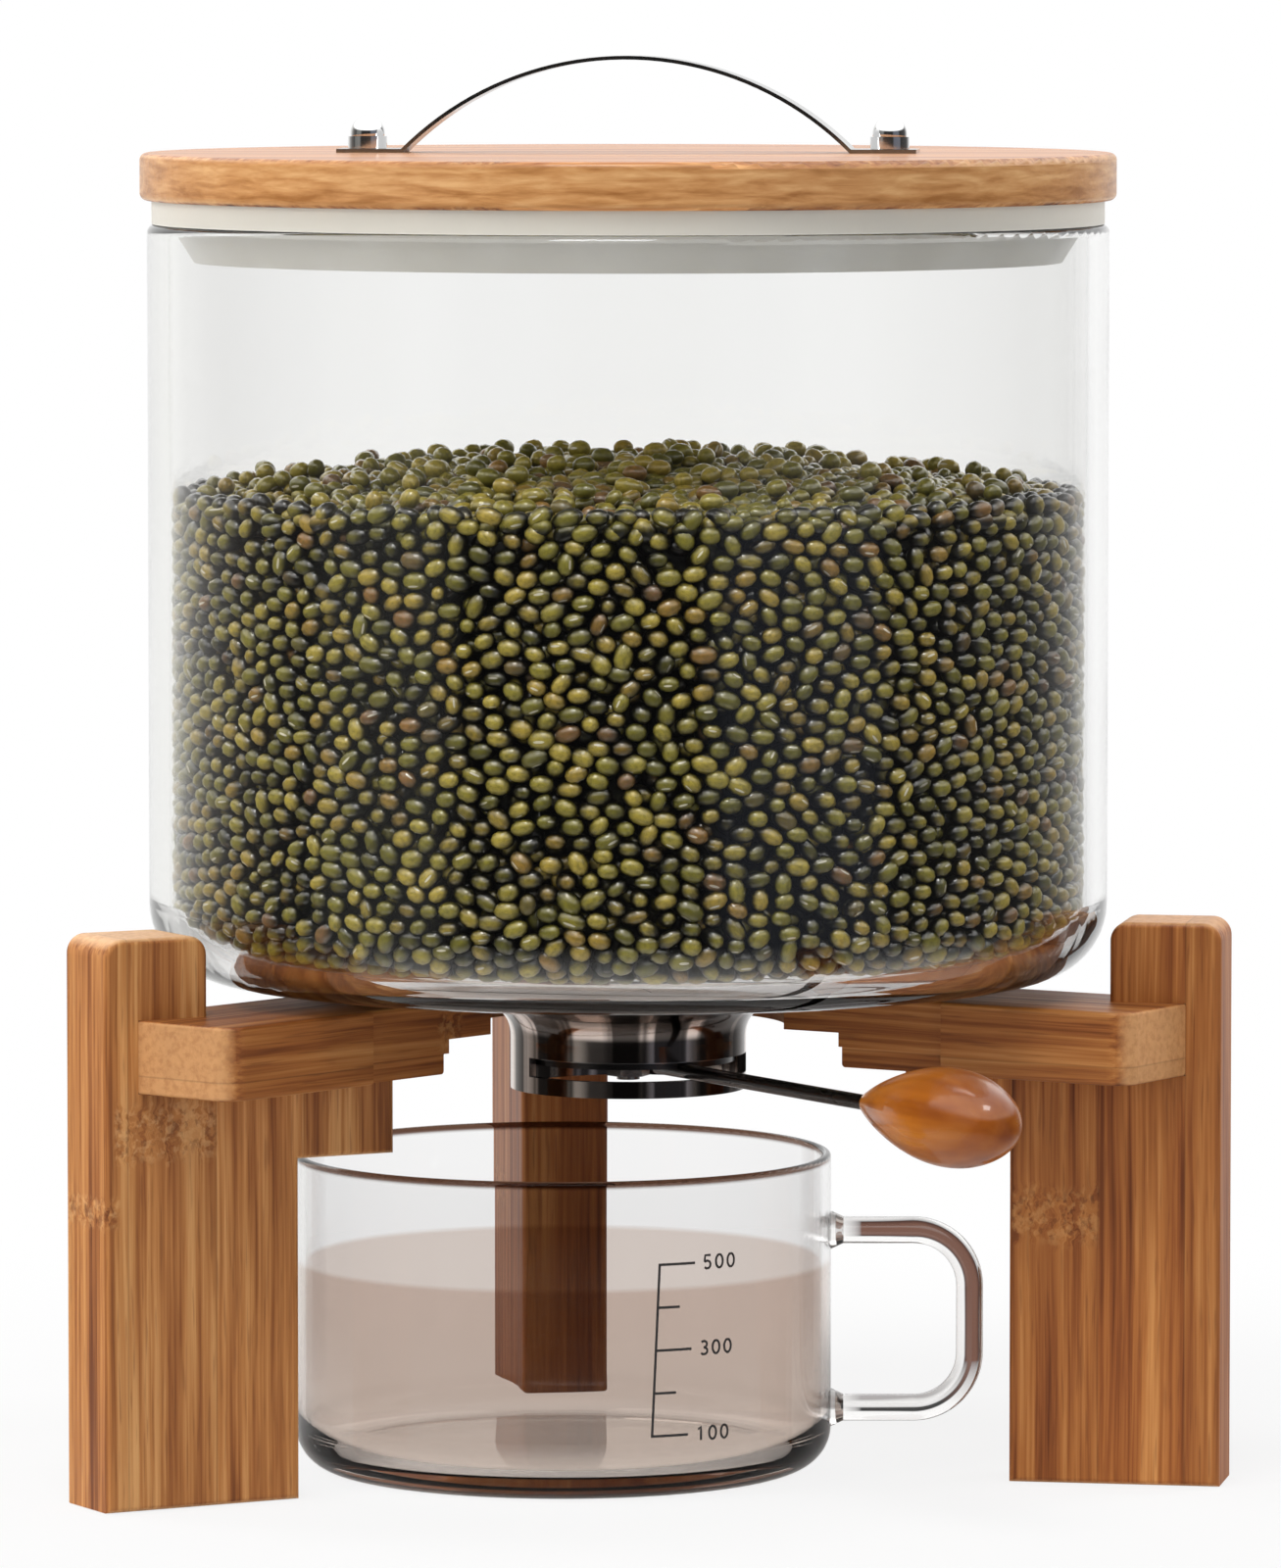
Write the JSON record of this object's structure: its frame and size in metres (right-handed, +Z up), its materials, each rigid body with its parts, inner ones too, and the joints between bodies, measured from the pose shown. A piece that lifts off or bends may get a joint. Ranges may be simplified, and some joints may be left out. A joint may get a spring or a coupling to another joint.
{
  "type": "grain dispenser",
  "caption": "Glass jar for grain on a three-legged bamboo stand, with a wooden strap-handled lid, a steel outlet with a lever-turned shutter, and a glass measuring cup.",
  "frame": {"origin": "on the jar's vertical axis, on the surface that the legs stand on", "axes": "+Z up; -Y towards the front, where the cup is taken out; +X to the right seen from the front"},
  "size_m": [0.249, 0.2717, 0.3026],
  "materials": {
    "bamboo": "satin",
    "bamboo_lid": "satin",
    "knob_wood": "gloss",
    "jar_glass": "clear",
    "cup_glass": "clear",
    "grain": "satin",
    "steel": "polished",
    "dark_steel": "satin",
    "chrome": "polished",
    "silicone": "matte",
    "liner": "matte",
    "screw_steel": "satin"
  },
  "bodies": {
    "stand": {"leg_left": "bamboo", "leg_right": "bamboo", "leg_back": "bamboo", "bar_left": "bamboo", "bar_right": "bamboo", "bar_back": "bamboo", "stand_screws": "screw_steel"},
    "jar": {"glass_jar": "jar_glass", "grain_fill": "grain", "grain_in_outlet": "grain", "outlet_collar": "steel", "lower_gasket": "silicone", "upper_gasket": "silicone", "inlet_flange": "steel", "fixed_shutter": "steel", "pivot_bolt": "steel", "pivot_washer": "steel", "pivot_nut": "steel"},
    "lever": {"gate_disc": "dark_steel", "lever_rod": "dark_steel", "lever_knob": "knob_wood"},
    "lid": {"lid_board": "bamboo_lid", "lid_seal": "silicone", "lid_liner": "liner", "handle_strap": "chrome", "lid_washers": "steel", "lid_bolts": "steel", "cap_nuts": "chrome"},
    "cup": {"measuring_cup": "cup_glass", "cup_handle": "cup_glass"}
  },
  "joints": [
    {"name": "jar_lift", "type": "slide", "parent": "stand", "child": "jar", "axis": [0, 0, 1], "range_m": [0, 0.15]},
    {"name": "lid_lift", "type": "slide", "parent": "jar", "child": "lid", "axis": [0, 0, 1], "range_m": [0, 0.08]},
    {"name": "lever_swing", "type": "hinge", "parent": "jar", "child": "lever", "pos_m": [0, 0, 0.0874], "axis": [0, 0, -1], "range_deg": [0, 60]},
    {"name": "cup_slide", "type": "slide", "parent": "stand", "child": "cup", "axis": [-0.08, -0.9968, 0], "range_m": [0, 0.22]}
  ]
}
